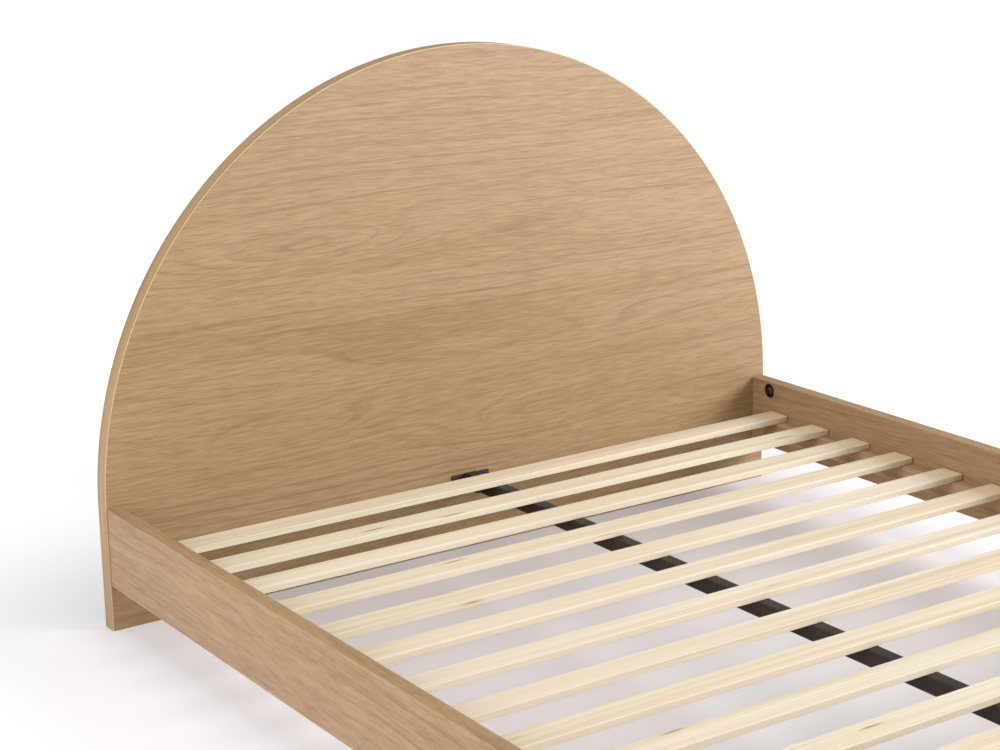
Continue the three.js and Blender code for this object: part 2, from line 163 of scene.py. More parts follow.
def rounded_box(low, high, radius, extras=((), (), ())):
    """A bmesh box with round arrises and a narrow loop of faces beside each of them."""
    centre, half = (low + high) / 2, (high - low) / 2
    places = [stations(half[i], radius, [x - centre[i] for x in extras[i]]) for i in range(3)]
    bm = bmesh.new()
    corners = {}

    def corner(key):
        if key not in corners:
            point = Vector([places[i][key[i]] for i in range(3)])
            core = Vector([max(radius - h, min(h - radius, x)) for h, x in zip(half, point)])
            corners[key] = bm.verts.new(centre + core + (point - core).normalized() * radius)
        return corners[key]

    for axis in range(3):
        a, b = (axis + 1) % 3, (axis + 2) % 3
        for side in (0, len(places[axis]) - 1):
            for i in range(len(places[a]) - 1):
                for j in range(len(places[b]) - 1):
                    loop = []
                    for p, q in ((i, j), (i + 1, j), (i + 1, j + 1), (i, j + 1)):
                        key = [side] * 3
                        key[a], key[b] = p, q
                        loop.append(corner(tuple(key)))
                    bm.faces.new(loop if side else loop[::-1])
    return bm


def ring_strip(bm, first, second):
    """Quads between two closed loops of vertices."""
    count = len(first)
    for i in range(count):
        j = (i + 1) % count
        bm.faces.new((first[i], first[j], second[j], second[i]))


def turned(profile, segments=48):
    """A bmesh turned about Z from (radius, height) pairs that start and end on the axis."""
    bm = bmesh.new()
    rings = []
    for radius, height in profile[1:-1]:
        ring = []
        for k in range(segments):
            angle = 2 * pi * k / segments
            ring.append(bm.verts.new((radius * cos(angle), radius * sin(angle), height)))
        rings.append(ring)
    for lower, upper in zip(rings, rings[1:]):
        ring_strip(bm, lower, upper)
    for ring, (_, height) in ((rings[0], profile[0]), (rings[-1], profile[-1])):
        pole = bm.verts.new((0, 0, height))
        for k in range(segments):
            bm.faces.new((ring[k], ring[(k + 1) % segments], pole))
    return bm


def eased(points, radius, steps=3):
    """Rounds the inner corners of a profile, each by at most the radius."""
    points = [Vector(p) for p in points]
    result = [points[0]]
    for before, corner, after in zip(points, points[1:], points[2:]):
        back, ahead = before - corner, after - corner
        start = corner + back.normalized() * min(radius, back.length * 0.45)
        stop = corner + ahead.normalized() * min(radius, ahead.length * 0.45)
        for k in range(steps + 1):
            t = k / steps
            result.append(start * (1 - t) ** 2 + corner * 2 * t * (1 - t) + stop * t ** 2)
    return result + [points[-1]]


def millimetres(points):
    """Turns (x, y) pairs in millimetres into vectors in metres."""
    return [Vector((x * MM, y * MM)) for x, y in points]


def arc(centre, radius, start, stop, steps):
    """Points round a centre from one angle to another, in degrees."""
    points = []
    for k in range(steps + 1):
        angle = radians(start + (stop - start) * k / steps)
        points.append((centre[0] + radius * cos(angle), centre[1] + radius * sin(angle)))
    return points


def extruded(outline, start, stop, lift):
    """A bmesh between two copies of a closed outline. Lift turns (point, level) into a vertex."""
    bm = bmesh.new()
    loops = [[bm.verts.new(lift(point, level)) for point in outline] for level in (start, stop)]
    ring_strip(bm, loops[0], loops[1])
    bm.faces.new(loops[0])
    bm.faces.new(loops[1])
    return bm


def rod(radius, start, stop, segments=24):
    """A plain rod, used as a drill."""
    start, stop = Vector(start), Vector(stop)
    length = (stop - start).length
    bm = turned([(0, 0), (radius, 0), (radius, length), (0, length)], segments)
    return place(to_object(bm, "drill"), aimed(start, stop - start))


def sweep(path, section):
    """Carries a closed section along a path in x and z. A path point is (place, outward normal).
    A section point is (how far it is set in from the path, y)."""
    bm = bmesh.new()
    rings = []
    for (x, z), (nx, nz) in path:
        rings.append([bm.verts.new((x - nx * inset, y, z - nz * inset)) for inset, y in section])
    for first, second in zip(rings, rings[1:]):
        ring_strip(bm, first, second)
    bm.faces.new(rings[0])
    bm.faces.new(rings[-1])
    return bm


def paint(obj, grain, wear_and_highlight_at):
    """Stores where each vertex lies in the wood, and how much edge wear and painted highlight it
    carries, for the materials to read.
    """
    points = [v.co.copy() for v in obj.data.vertices]
    wood = obj.data.attributes.new("wood", "FLOAT_VECTOR", "POINT")
    wood.data.foreach_set("vector", [x for p in points for x in grain(p)])
    wear_and_highlight = obj.data.attributes.new("wear_and_highlight", "FLOAT", "POINT")
    wear_and_highlight.data.foreach_set("value", [wear_and_highlight_at(p) for p in points])


def board_grain(order, offset):
    """Maps a place to (along the grain, across it, depth). Order names the axes, such as "yzx"."""
    axes = ["xyz".index(letter) for letter in order]
    return lambda p: [p[axis] + shift for axis, shift in zip(axes, offset)]


def box_wear_and_highlight(low, high, radius):
    """1 on an arris of a box, falling to 0 at the end of the band: edge wear and a painted highlight.
    """
    centre, half = (low + high) / 2, (high - low) / 2

    def wear_and_highlight_at(point):
        depths = sorted(h - abs(x) for h, x in zip(half, point - centre))
        return max(0.0, 1 - depths[1] / (radius + WEAR_AND_HIGHLIGHT_BAND))
    return wear_and_highlight_at


def finish_piece(obj, material, nodes, body=ROOT):
    """Gives a piece its finish and body, and hides the CAD nodes that it stands for."""
    for one in material if isinstance(material, list) else [material]:
        obj.data.materials.append(one)
    shade(obj)
    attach(obj, body)
    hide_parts(*nodes)
    return obj


# ------------------------------------------------------------------ material helpers

def srgb(red, green, blue):
    """A linear colour from the usual 0 to 255 values."""
    values = [c / 255 for c in (red, green, blue)]
    return [c / 12.92 if c <= 0.04045 else ((c + 0.055) / 1.055) ** 2.4 for c in values] + [1]


class Surface:
    """A material under construction. Each method adds a node and gives back its output."""

    def __init__(self, name):
        self.material = bpy.data.materials.new(name)
        self.material.use_nodes = True
        self.tree = self.material.node_tree
        self.shader = self.tree.nodes["Principled BSDF"]

    def put(self, value, socket):
        if isinstance(value, bpy.types.NodeSocket):
            self.tree.links.new(value, socket)
        else:
            socket.default_value = value

    def node(self, kind, inputs, output=0, **settings):
        node = self.tree.nodes.new("ShaderNode" + kind)
        for name, value in settings.items():
            setattr(node, name, value)
        for key, value in inputs.items():
            self.put(value, node.inputs[key])
        return node.outputs[output]

    def attribute(self, name, output):
        return self.node("Attribute", {}, output, attribute_name=name)

    def math(self, operation, a, b=0.0):
        return self.node("Math", {0: a, 1: b}, operation=operation)

    def scaled(self, vector, scale):
        return self.node("VectorMath", {0: vector, 1: scale}, operation="MULTIPLY")

    def split(self, vector):
        node = self.tree.nodes.new("ShaderNodeSeparateXYZ")
        self.put(vector, node.inputs[0])
        return node.outputs[0], node.outputs[1], node.outputs[2]

    def join(self, x, y, z):
        return self.node("CombineXYZ", {0: x, 1: y, 2: z})

    def noise(self, vector, scale, detail=2.0, roughness=0.5):
        """Noise from 0 to 1. Scale is one number, or three for a stretched noise."""
        if not isinstance(scale, (int, float)):
            vector = self.scaled(vector, scale)
            scale = 1.0
        inputs = {"Vector": vector, "Scale": scale, "Detail": detail, "Roughness": roughness}
        return self.node("TexNoise", inputs)

    def span(self, value, low, high, to_low=0.0, to_high=1.0):
        """Maps low..high to to_low..to_high with a smooth start and stop."""
        inputs = {0: value, 1: low, 2: high, 3: to_low, 4: to_high}
        return self.node("MapRange", inputs, interpolation_type="SMOOTHSTEP")

    def mix(self, factor, a, b, blend="MIX"):
        inputs = {0: factor, 6: a, 7: b}
        return self.node("Mix", inputs, 2, data_type="RGBA", blend_type=blend)

    def ramp(self, value, stops):
        node = self.tree.nodes.new("ShaderNodeValToRGB")
        self.put(value, node.inputs[0])
        elements = node.color_ramp.elements
        while len(elements) < len(stops):
            elements.new(0.5)
        for element, (position, colour) in zip(elements, stops):
            element.position = position
            element.color = colour
        return node.outputs[0]

    def finish(self, colour, roughness, bump=None, depth=0.1 * MM, **values):
        self.put(colour, self.shader.inputs["Base Color"])
        self.put(roughness, self.shader.inputs["Roughness"])
        for name, value in values.items():
            self.shader.inputs[name.replace("_", " ")].default_value = value
        if bump is not None:
            inputs = {"Strength": 1.0, "Distance": depth, "Height": bump}
            self.put(self.node("Bump", inputs), self.shader.inputs["Normal"])
        return self.material


# ------------------------------------------------------------------ wood materials

# Cathedral figures in the oak: (along the grain, across it, half length, half height, rings).
HEADBOARD_FIGURES = [
    (-0.36, 0.66, 0.30, 0.045, 4.5),
    (0.02, 0.43, 0.34, 0.040, 4.0),
    (-0.42, 0.33, 0.22, 0.034, 3.0),
    (0.40, 0.62, 0.30, 0.036, 2.5),
    (0.18, 0.26, 0.24, 0.038, 3.5),
]
RING_PITCH = 26 * MM


def warped_wood(s, wood, slow, quick):
    """The wood's coordinates with growth lines that wander: slow and quick are their reach."""
    u, v, w = s.split(wood)
    wander = s.math("SUBTRACT", s.noise(wood, (0.7, 3.5, 3.5), 1.0), 0.5)
    ripple = s.math("SUBTRACT", s.noise(wood, (4.0, 22.0, 22.0), 2.0), 0.5)
    shift = s.math("ADD", s.math("MULTIPLY", wander, slow), s.math("MULTIPLY", ripple, quick))
    return u, s.math("ADD", v, shift), w


def figure_rings(s, u, v, figures):
    """Ring counts that the cathedral figures add to the straight growth lines."""
    total = 0.0
    for along, across, half_length, half_height, rings in figures:
        x = s.math("MULTIPLY", s.math("SUBTRACT", u, along), 1 / half_length)
        y = s.math("MULTIPLY", s.math("SUBTRACT", v, across), 1 / half_height)
        square = s.math("ADD", s.math("MULTIPLY", x, x), s.math("MULTIPLY", y, y))
        bump = s.math("MULTIPLY", s.math("POWER", 2.718, s.math("MULTIPLY", square, -1.0)), rings)
        total = s.math("ADD", bump, total)
    return total


def oak_laminate(name, figures=()):
    """Pale oak decor: broad colour bands, growth lines, cathedral figures, fibres and pores."""
    s = Surface(name)
    wood = s.attribute("wood", 1)
    u, v, w = warped_wood(s, wood, 0.07, 0.008)
    flow = s.join(u, v, w)

    phase = s.math("MULTIPLY", v, 1 / RING_PITCH)
    phase = s.math("ADD", phase, s.math("MULTIPLY", s.noise(flow, (1.2, 9.0, 9.0), 2.0), 2.2))
    if figures:
        phase = s.math("ADD", phase, figure_rings(s, u, v, figures))
    ring = s.math("FRACT", phase)
    rise = s.span(ring, 0.66, 0.94)
    fall = s.span(ring, 0.94, 1.0, 1.0, 0.0)
    late = s.math("MULTIPLY", rise, fall)
    strength = s.span(s.noise(flow, (1.6, 12.0, 12.0), 2.0), 0.36, 0.62, 0.10, 1.0)
    line = s.math("MULTIPLY", late, strength)

    ring_flow = s.join(u, s.math("MULTIPLY", phase, RING_PITCH), w)
    bands = s.noise(ring_flow, (0.5, 14.0, 6.0), 3.0, 0.55)
    clouds = s.noise(flow, (0.5, 1.6, 1.6), 2.0)
    streaks = s.noise(ring_flow, (3.0, 75.0, 50.0), 3.0, 0.6)
    ticks = s.noise(flow, (16.0, 210.0, 210.0), 2.0, 0.6)
    fibres = s.noise(flow, (24.0, 460.0, 460.0), 2.0, 0.6)
    pores = s.span(s.noise(flow, (30.0, 700.0, 700.0), 1.0), 0.60, 0.70)

    base = s.ramp(bands, [
        (0.30, srgb(142, 113, 74)),
        (0.44, srgb(151, 122, 84)),
        (0.56, srgb(155, 127, 91)),
        (0.72, srgb(147, 117, 83)),
    ])
    pinkish = s.span(clouds, 0.40, 0.66, 0.0, 0.4)
    colour = s.mix(pinkish, base, srgb(156, 126, 96))
    colour = s.mix(s.math("MULTIPLY", line, 0.40), colour, srgb(108, 76, 47))
    colour = s.mix(s.span(streaks, 0.50, 0.72, 0.0, 0.34), colour, srgb(122, 91, 57))
    colour = s.mix(s.span(streaks, 0.50, 0.30, 0.0, 0.22), colour, srgb(168, 143, 106))
    colour = s.mix(s.span(ticks, 0.50, 0.70, 0.0, 0.40), colour, srgb(124, 93, 59))
    colour = s.mix(s.span(ticks, 0.50, 0.32, 0.0, 0.34), colour, srgb(170, 145, 108))
    colour = s.mix(s.span(fibres, 0.48, 0.70, 0.0, 0.30), colour, srgb(116, 86, 54))
    colour = s.mix(s.math("MULTIPLY", pores, 0.30), colour, srgb(92, 65, 38))
    # Painted highlight mixed with wear: pale arrises and pale rims round the bores.
    wear_and_highlight = s.attribute("wear_and_highlight", 2)
    patchy = s.span(s.noise(wood, 60.0, 2.0), 0.35, 0.65, 0.15, 0.55)
    colour = s.mix(s.math("MULTIPLY", wear_and_highlight, patchy), colour, srgb(174, 150, 114))

    roughness = s.span(fibres, 0.3, 0.7, 0.42, 0.55)
    relief = s.math("SUBTRACT", s.math("MULTIPLY", fibres, 0.5), pores)
    return s.finish(colour, roughness, relief, 0.05 * MM)


def oak_edge_band():
    """The band round the panels: plain straight grain with warm patches, pale on its arrises from wear
    and a painted highlight.
    """
    s = Surface("oak_edge_band")
    wood = s.attribute("wood", 1)
    u, v, w = warped_wood(s, wood, 0.01, 0.002)
    flow = s.join(u, v, w)
    stripes = s.noise(flow, (1.5, 120.0, 120.0), 3.0, 0.6)
    patches = s.noise(flow, (5.0, 30.0, 30.0), 2.0)
    fibres = s.noise(flow, (9.0, 700.0, 700.0), 2.0)
    colour = s.ramp(stripes, [
        (0.30, srgb(136, 106, 67)),
        (0.50, srgb(150, 121, 82)),
        (0.70, srgb(161, 134, 97)),
    ])
    colour = s.mix(s.span(patches, 0.42, 0.64, 0.0, 0.5), colour, srgb(165, 124, 82))
    colour = s.mix(s.span(fibres, 0.5, 0.75, 0.0, 0.3), colour, srgb(122, 89, 54))
    # Pale arrises: partly wear, partly a painted highlight.
    wear_and_highlight = s.attribute("wear_and_highlight", 2)
    colour = s.mix(s.math("MULTIPLY", wear_and_highlight, 0.55), colour, srgb(206, 184, 140))
    roughness = s.span(fibres, 0.3, 0.7, 0.40, 0.52)
    return s.finish(colour, roughness, fibres, 0.04 * MM)


def slat_wood():
    """Pale sawn softwood: faint yellow streaks, fine fibres, a few knots, pale arrises that are partly
    wear and partly a painted highlight, and a painted warm darker tint at the ends for light bounced
    off the side rails.
    """
    s = Surface("slat_wood")
    wood = s.attribute("wood", 1)
    u, v, w = warped_wood(s, wood, 0.012, 0.003)
    flow = s.join(u, v, w)
    streaks = s.noise(flow, (0.9, 60.0, 60.0), 3.0, 0.6)
    soft = s.noise(flow, (1.3, 14.0, 14.0), 2.0)
    fibres = s.noise(flow, (8.0, 520.0, 520.0), 3.0, 0.6)
    lines = s.noise(flow, (0.7, 190.0, 190.0), 2.0)
    colour = s.ramp(streaks, [
        (0.30, srgb(195, 178, 148)),
        (0.48, srgb(209, 198, 175)),
        (0.68, srgb(217, 208, 190)),
    ])
    colour = s.mix(s.span(soft, 0.42, 0.66, 0.0, 0.55), colour, srgb(212, 193, 170))
    colour = s.mix(s.span(lines, 0.60, 0.70, 0.0, 0.34), colour, srgb(179, 149, 113))
    colour = s.mix(s.span(fibres, 0.48, 0.74, 0.0, 0.22), colour, srgb(173, 146, 110))
    knots = s.node("TexVoronoi", {"Vector": s.scaled(flow, (2.6, 26.0, 26.0)), "Scale": 1.0}, 0)
    knot = s.span(knots, 0.035, 0.10, 1.0, 0.0)
    halo = s.span(knots, 0.08, 0.22, 1.0, 0.0)
    colour = s.mix(s.math("MULTIPLY", halo, 0.22), colour, srgb(207, 174, 131))
    colour = s.mix(s.math("MULTIPLY", knot, 0.75), colour, srgb(121, 83, 54))
    # Painted warm light bounced off the side rails: a tan, darker tint towards both ends of each slat.
    reach = s.math("ABSOLUTE", s.split(s.node("TexCoord", {}, 3))[0])
    painted_rail_bounce = s.math("MULTIPLY", s.span(reach, 0.66, 0.768), s.span(soft, 0.3, 0.6, 0.2, 0.5))
    colour = s.mix(painted_rail_bounce, colour, srgb(216, 174, 120))
    # Pale arrises: partly wear, partly a painted highlight.
    wear_and_highlight = s.attribute("wear_and_highlight", 2)
    colour = s.mix(s.math("MULTIPLY", wear_and_highlight, 0.2), colour, srgb(222, 214, 196))
    roughness = s.span(fibres, 0.3, 0.7, 0.55, 0.72)
    relief = s.math("SUBTRACT", s.math("MULTIPLY", fibres, 0.6), s.math("MULTIPLY", knot, 0.5))
    return s.finish(colour, roughness, relief, 0.12 * MM)


def ledger_wood():
    """Reddish brown sawn timber with rough fibres."""
    s = Surface("ledger_wood")
    wood = s.attribute("wood", 1)
    u, v, w = warped_wood(s, wood, 0.02, 0.004)
    flow = s.join(u, v, w)
    streaks = s.noise(flow, (1.4, 70.0, 70.0), 3.0, 0.6)
    fibres = s.noise(flow, (9.0, 480.0, 480.0), 3.0, 0.6)
    colour = s.ramp(streaks, [
        (0.30, srgb(132, 102, 76)),
        (0.50, srgb(160, 128, 96)),
        (0.70, srgb(182, 149, 114)),
    ])
    colour = s.mix(s.span(fibres, 0.48, 0.72, 0.0, 0.4), colour, srgb(104, 76, 54))
    # Pale arrises: partly wear, partly a painted highlight.
    wear_and_highlight = s.attribute("wear_and_highlight", 2)
    colour = s.mix(s.math("MULTIPLY", wear_and_highlight, 0.4), colour, srgb(192, 162, 130))
    roughness = s.span(fibres, 0.3, 0.7, 0.58, 0.75)
    return s.finish(colour, roughness, fibres, 0.15 * MM)


def dowel_wood():
    """Beech pins with short flecks along them."""
    s = Surface("dowel_wood")
    place_in_object = s.node("TexCoord", {}, 3)
    flecks = s.noise(place_in_object, (700.0, 60.0, 700.0), 2.0)
    colour = s.ramp(flecks, [(0.35, srgb(222, 190, 148)), (0.65, srgb(196, 156, 112))])
    return s.finish(colour, s.span(flecks, 0.3, 0.7, 0.5, 0.65), flecks, 0.05 * MM)


# ------------------------------------------------------------------ metal materials

def black_powder_coat():
    """Satin black powder coat: fine orange peel, and thin paler scuffs."""
    s = Surface("black_powder_coat")
    spot = s.node("TexCoord", {}, 3)
    peel = s.noise(spot, 900.0, 2.0)
    dust = s.noise(spot, (30.0, 12.0, 30.0), 4.0, 0.6)
    scuffs = s.noise(spot, (260.0, 18.0, 260.0), 2.0)
    colour = s.ramp(dust, [(0.30, srgb(30, 22, 17)), (0.70, srgb(44, 34, 25))])
    colour = s.mix(s.span(scuffs, 0.62, 0.74, 0.0, 0.2), colour, srgb(90, 78, 64))
    roughness = s.span(peel, 0.3, 0.7, 0.42, 0.58)
    return s.finish(colour, roughness, peel, 0.06 * MM, Specular_IOR_Level=0.3)


def zinc():
    """Zinc plate: cloudy grey with a faint yellow passivation and fine scratches."""
    s = Surface("zinc")
    spot = s.node("TexCoord", {}, 3)
    clouds = s.noise(spot, 130.0, 3.0, 0.6)
    scratches = s.noise(spot, (2400.0, 160.0, 700.0), 1.0)
    colour = s.ramp(clouds, [(0.30, srgb(84, 80, 68)), (0.70, srgb(176, 172, 160))])
    roughness = s.span(scratches, 0.3, 0.7, 0.22, 0.42)
    return s.finish(colour, roughness, scratches, 0.02 * MM, Metallic=1.0)


def dark_zinc():
    """The cam's collar: near-black cast zinc, much darker than the boss."""
    s = Surface("dark_zinc")
    spot = s.node("TexCoord", {}, 3)
    clouds = s.noise(spot, 220.0, 3.0, 0.6)
    colour = s.ramp(clouds, [(0.30, srgb(18, 15, 13)), (0.70, srgb(40, 35, 30))])
    return s.finish(colour, s.span(clouds, 0.3, 0.7, 0.35, 0.55), clouds, 0.05 * MM, Metallic=0.6)


OAK_HEADBOARD = oak_laminate("oak_headboard", HEADBOARD_FIGURES)
OAK_BOARD = oak_laminate("oak_board")
OAK_BAND = oak_edge_band()
SLAT = slat_wood()
LEDGER = ledger_wood()
DOWEL = dowel_wood()
BLACK = black_powder_coat()
ZINC = zinc()
DARK_ZINC = dark_zinc()


# ------------------------------------------------------------------ end panels and edge bands

def end_panel_holes(end):
    """Drills for the blind holes that the fasteners need in an end panel."""
    inwards = Vector((0, ENDS[end], 0))         # into the panel
    drills = []
    fasteners = [f"{end}_{side}_{level}_cam_bolt" for side in SIDES for level in LEVELS]
    fasteners += [f"{end}_{side}_dowel" for side in SIDES]
    fasteners += [f"{end}_bracket_{side}_screw" for side in SIDES]
    face_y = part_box("headboard_panel")[0].y if end == "head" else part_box("foot_panel")[1].y
    for name in fasteners:
        low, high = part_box(name)
        middle = (low + high) / 2
        depth = abs((high if end == "head" else low).y - face_y)
        radius = DOWEL_HOLE if "dowel" in name else BOLT_HOLE
        mouth = Vector((middle.x, face_y, middle.z))
        past = inwards * DRILL_OVERRUN
        drills.append(rod(radius, mouth - past, mouth + inwards * depth + past))
    return drills


def arch_path(radius, base, bottom, steps):
    """Up one side, round the half circle and down the other: (place, outward normal) pairs."""
    path = [((radius, bottom), (1, 0))]
    for k in range(steps + 1):
        angle = pi * k / steps
        normal = (cos(angle), sin(angle))
        path.append(((radius * normal[0], base + radius * normal[1]), normal))
    path.append(((-radius, bottom), (-1, 0)))
    return path


def headboard_panel():
    low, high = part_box("headboard_panel")
    radius = high.x
    base = high.z - radius
    bm = bmesh.new()
    rings = []
    for inset, y in (
        (PANEL_ARRIS, low.y), (0, low.y + PANEL_ARRIS),
        (0, high.y - PANEL_ARRIS), (PANEL_ARRIS, high.y),
    ):
        path = arch_path(radius - inset, base, low.z + inset, ARCH_STEPS)
        rings.append([bm.verts.new((x, y, z)) for (x, z), _ in path])
    for first, second in zip(rings, rings[1:]):
        ring_strip(bm, first, second)
    bm.faces.new(rings[0])
    bm.faces.new(rings[-1])
    obj = to_object(bm, "headboard_panel_detail")
    boolean(obj, end_panel_holes("head"))
    paint(obj, board_grain("xzy", (0, 0, 0)), lambda p: 0.0)
    return finish_piece(obj, OAK_HEADBOARD, ["headboard_panel"])


def band_section(front, back):
    """The edge band's section, as (inset, y): round outer arrises, and a loop beside each where the
    wear and painted highlight end.
    """
    section = [(BAND_THICKNESS, front)]
    for y, sign in ((front, 1), (back, -1)):
        loop = []
        for angle in (0, 30, 60, 90):
            t = radians(angle)
            loop.append((BAND_ARRIS * (1 - sin(t)), y + sign * BAND_ARRIS * (1 - cos(t))))
        loop.append((0, y + sign * (BAND_ARRIS + BAND_WEAR_AND_HIGHLIGHT)))
        section += loop if sign > 0 else loop[::-1]
    return section + [(BAND_THICKNESS, back)]


def band_wear_and_highlight(front, back):
    """1 on the outer arrises of an edge band, falling to 0 where the wear and painted highlight end."""
    reach = BAND_ARRIS + BAND_WEAR_AND_HIGHLIGHT
    return lambda p: max(0.0, 1 - min(abs(p.y - front), abs(p.y - back)) / reach)


def headboard_edge_band():
    low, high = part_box("headboard_edge_band")
    radius = high.x
    base = high.z - radius
    path = arch_path(radius, base, low.z, ARCH_STEPS)
    obj = to_object(sweep(path, band_section(low.y, high.y)), "headboard_edge_band_detail")

    def grain(p):
        """Runs along the band: up one side, over the arch and down the other."""
        if p.z < base:
            along = (p.z - base) if p.x > 0 else radius * pi + base - p.z
        else:
            along = radius * atan2(p.z - base, p.x)
        return along, p.y, hypot(p.x, max(0.0, p.z - base))
    paint(obj, grain, band_wear_and_highlight(low.y, high.y))
    return finish_piece(obj, OAK_BAND, ["headboard_edge_band"])


def foot_panel():
    low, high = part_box("foot_panel")
    obj = to_object(rounded_box(low, high, PANEL_ARRIS), "foot_panel_detail")
    boolean(obj, end_panel_holes("foot"))
    paint(obj, board_grain("xzy", (3.1, 1.7, 0.4)), lambda p: 0.0)
    return finish_piece(obj, OAK_BOARD, ["foot_panel"])


def foot_panel_edge_band():
    low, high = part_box("foot_panel_edge_band")
    corner = BAND_THICKNESS + 0.3 * MM
    path = [((high.x, low.z), (1, 0))]
    for side, first in ((1, 0), (-1, 90)):
        for normal in arc((0, 0), 1, first, first + 90, 4):
            x = side * (high.x - corner) + corner * normal[0]
            path.append(((x, high.z - corner + corner * normal[1]), normal))
    path.append(((low.x, low.z), (-1, 0)))
    obj = to_object(sweep(path, band_section(low.y, high.y)), "foot_panel_edge_band_detail")

    def grain(p):
        top = high.z - 3 * BAND_THICKNESS
        along = p.x if p.z > top else (2 * high.x - p.z if p.x > 0 else p.z - 2 * high.x)
        return along + 7.0, p.y, p.z
    paint(obj, grain, band_wear_and_highlight(low.y, high.y))
    return finish_piece(obj, OAK_BAND, ["foot_panel_edge_band"])


# ------------------------------------------------------------------ side rails and ledgers

def open_bore(bm, centre, normal, radius, depth):
    """Replaces the flat face round a point by a round bore with a chamfered mouth."""
    face = min(
        (f for f in bm.faces if f.normal.dot(normal) > 0.99),
        key=lambda f: (f.calc_center_median() - centre).length,
    )
    border = list(face.verts)
    bm.faces.remove(face)
    across = Vector((0, 1, 0))
    up = normal.cross(across)

    def ring(size, sink):
        loop = []
        for k in range(BORE_STEPS):
            angle = 2 * pi * (k + 0.5) / BORE_STEPS
            loop.append(bm.verts.new(
                centre - normal * sink + (across * cos(angle) + up * sin(angle)) * size))
        return loop
    ease = 0.3 * MM
    rings = [
        ring(radius + BORE_CHAMFER + BORE_WEAR_AND_HIGHLIGHT, 0), ring(radius + BORE_CHAMFER, 0),
        ring(radius, BORE_CHAMFER), ring(radius, depth - ease), ring(radius - ease, depth),
    ]
    for first, second in zip(rings, rings[1:]):
        ring_strip(bm, first, second)
    bm.faces.new(rings[-1])

    def turn(vert):
        """The angle of a vertex round the bore."""
        offset = vert.co - centre
        return atan2(offset.dot(up), offset.dot(across)) % (2 * pi)
    border.sort(key=turn)
    nearest = [int(turn(v) / (2 * pi) * BORE_STEPS) % BORE_STEPS for v in border]
    for i in range(len(border)):
        start, stop = nearest[i], nearest[(i + 1) % len(border)]
        run = [start]
        while run[-1] != stop:
            run.append((run[-1] + 1) % BORE_STEPS)
        outer = [border[i], border[(i + 1) % len(border)]]
        bm.faces.new(outer + [rings[0][k] for k in reversed(run)])


def cam_places(side):
    """The end, level, and centre of the face of each cam in a rail."""
    places = []
    for end in ENDS:
        for level in LEVELS:
            low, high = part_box(f"{end}_{side}_{level}_cam_lock")
            centre = (low + high) / 2
            centre.x = low.x if side == "right" else high.x
            places.append((end, level, centre))
    return places


def side_rail(side):
    name = f"{side}_side_rail"
    low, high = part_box(name)
    sign = SIDES[side]
    inner = low.x if side == "right" else high.x
    normal = Vector((-sign, 0, 0))
    places = cam_places(side)
    ys = sorted({round(c.y + d, 5) for _, _, c in places for d in (-BORE_MARGIN, BORE_MARGIN)})
    zs = sorted({round(c.z + d, 5) for _, _, c in places for d in (-BORE_MARGIN, BORE_MARGIN)})
    bm = rounded_box(low, high, BOARD_ARRIS, ((), ys, zs))
    bm.normal_update()
    mouths = []
    for _, _, centre in places:
        mouth = Vector((inner, centre.y, centre.z))
        mouths.append(mouth)
        open_bore(bm, mouth, normal, CAM_BORE_RADIUS, CAM_BORE_DEPTH)
    obj = to_object(bm, name + "_detail")
    middle = (low.x + high.x) / 2
    inside_bore = CAM_BORE_RADIUS / 2
    drills = []
    for end, outwards in ENDS.items():
        past = outwards * DRILL_OVERRUN
        face = outwards * high.y + past
        for _, _, centre in (p for p in places if p[0] == end):
            stop = centre.y + outwards * inside_bore
            drills.append(rod(RAIL_BOLT_HOLE, (middle, face, centre.z), (middle, stop, centre.z)))
        dowel_low, dowel_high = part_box(f"{end}_{side}_dowel")
        level = (dowel_low.z + dowel_high.z) / 2
        tip = (dowel_low if end == "head" else dowel_high).y - past
        drills.append(rod(DOWEL_HOLE, (middle, face, level), (middle, tip, level)))
    boolean(obj, drills)
    box = box_wear_and_highlight(low, high, BOARD_ARRIS)

    # The pale ring round each bore's mouth: partly wear, partly a painted highlight where the rim
    # catches light.
    def wear_and_highlight_at(point):
        for mouth in mouths:
            off = point - mouth
            rim = hypot(off.y, off.z) - CAM_BORE_RADIUS
            if abs(off.x) < MM and -TOLERANCE < rim < BORE_WEAR_AND_HIGHLIGHT:
                return 1.0
        return box(point)
    offset = (1.3, 4.2, 0.9) if side == "left" else (6.7, 2.9, 1.9)
    paint(obj, board_grain("yzx", offset), wear_and_highlight_at)
    return finish_piece(obj, OAK_BOARD, [name])


def ledger(side):
    name = f"{side}_slat_ledger"
    low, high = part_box(name)
    obj = to_object(rounded_box(low, high, LEDGER_ARRIS), name + "_detail")
    paint(obj, board_grain("yzx", (SIDES[side] * 2.3, 0.7, 0.2)), box_wear_and_highlight(low, high, LEDGER_ARRIS))
    return finish_piece(obj, LEDGER, [name])


# ------------------------------------------------------------------ slats

def slat(index):
    name = f"slat_{index:02d}"
    low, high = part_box(name)
    obj = to_object(rounded_box(low, high, SLAT_ARRIS), name + "_detail")
    offset = (index * 3.37, index * 0.61, index * 0.29)
    paint(obj, board_grain("xyz", offset), box_wear_and_highlight(low, high, SLAT_ARRIS))
    return finish_piece(obj, SLAT, [name])


# ------------------------------------------------------------------ centre beam, brackets and bolts

def rounded_loop(width, height, radius, steps=6):
    """A closed loop of (x, z) points round a rectangle that is centred on the origin."""
    loop = []
    for quarter, (sx, sz) in enumerate(((1, 1), (-1, 1), (-1, -1), (1, -1))):
        for k in range(steps + 1):
            angle = pi / 2 * (quarter + k / steps)
            x = sx * (width / 2 - radius) + radius * cos(angle)
            loop.append((x, sz * (height / 2 - radius) + radius * sin(angle)))
    return loop


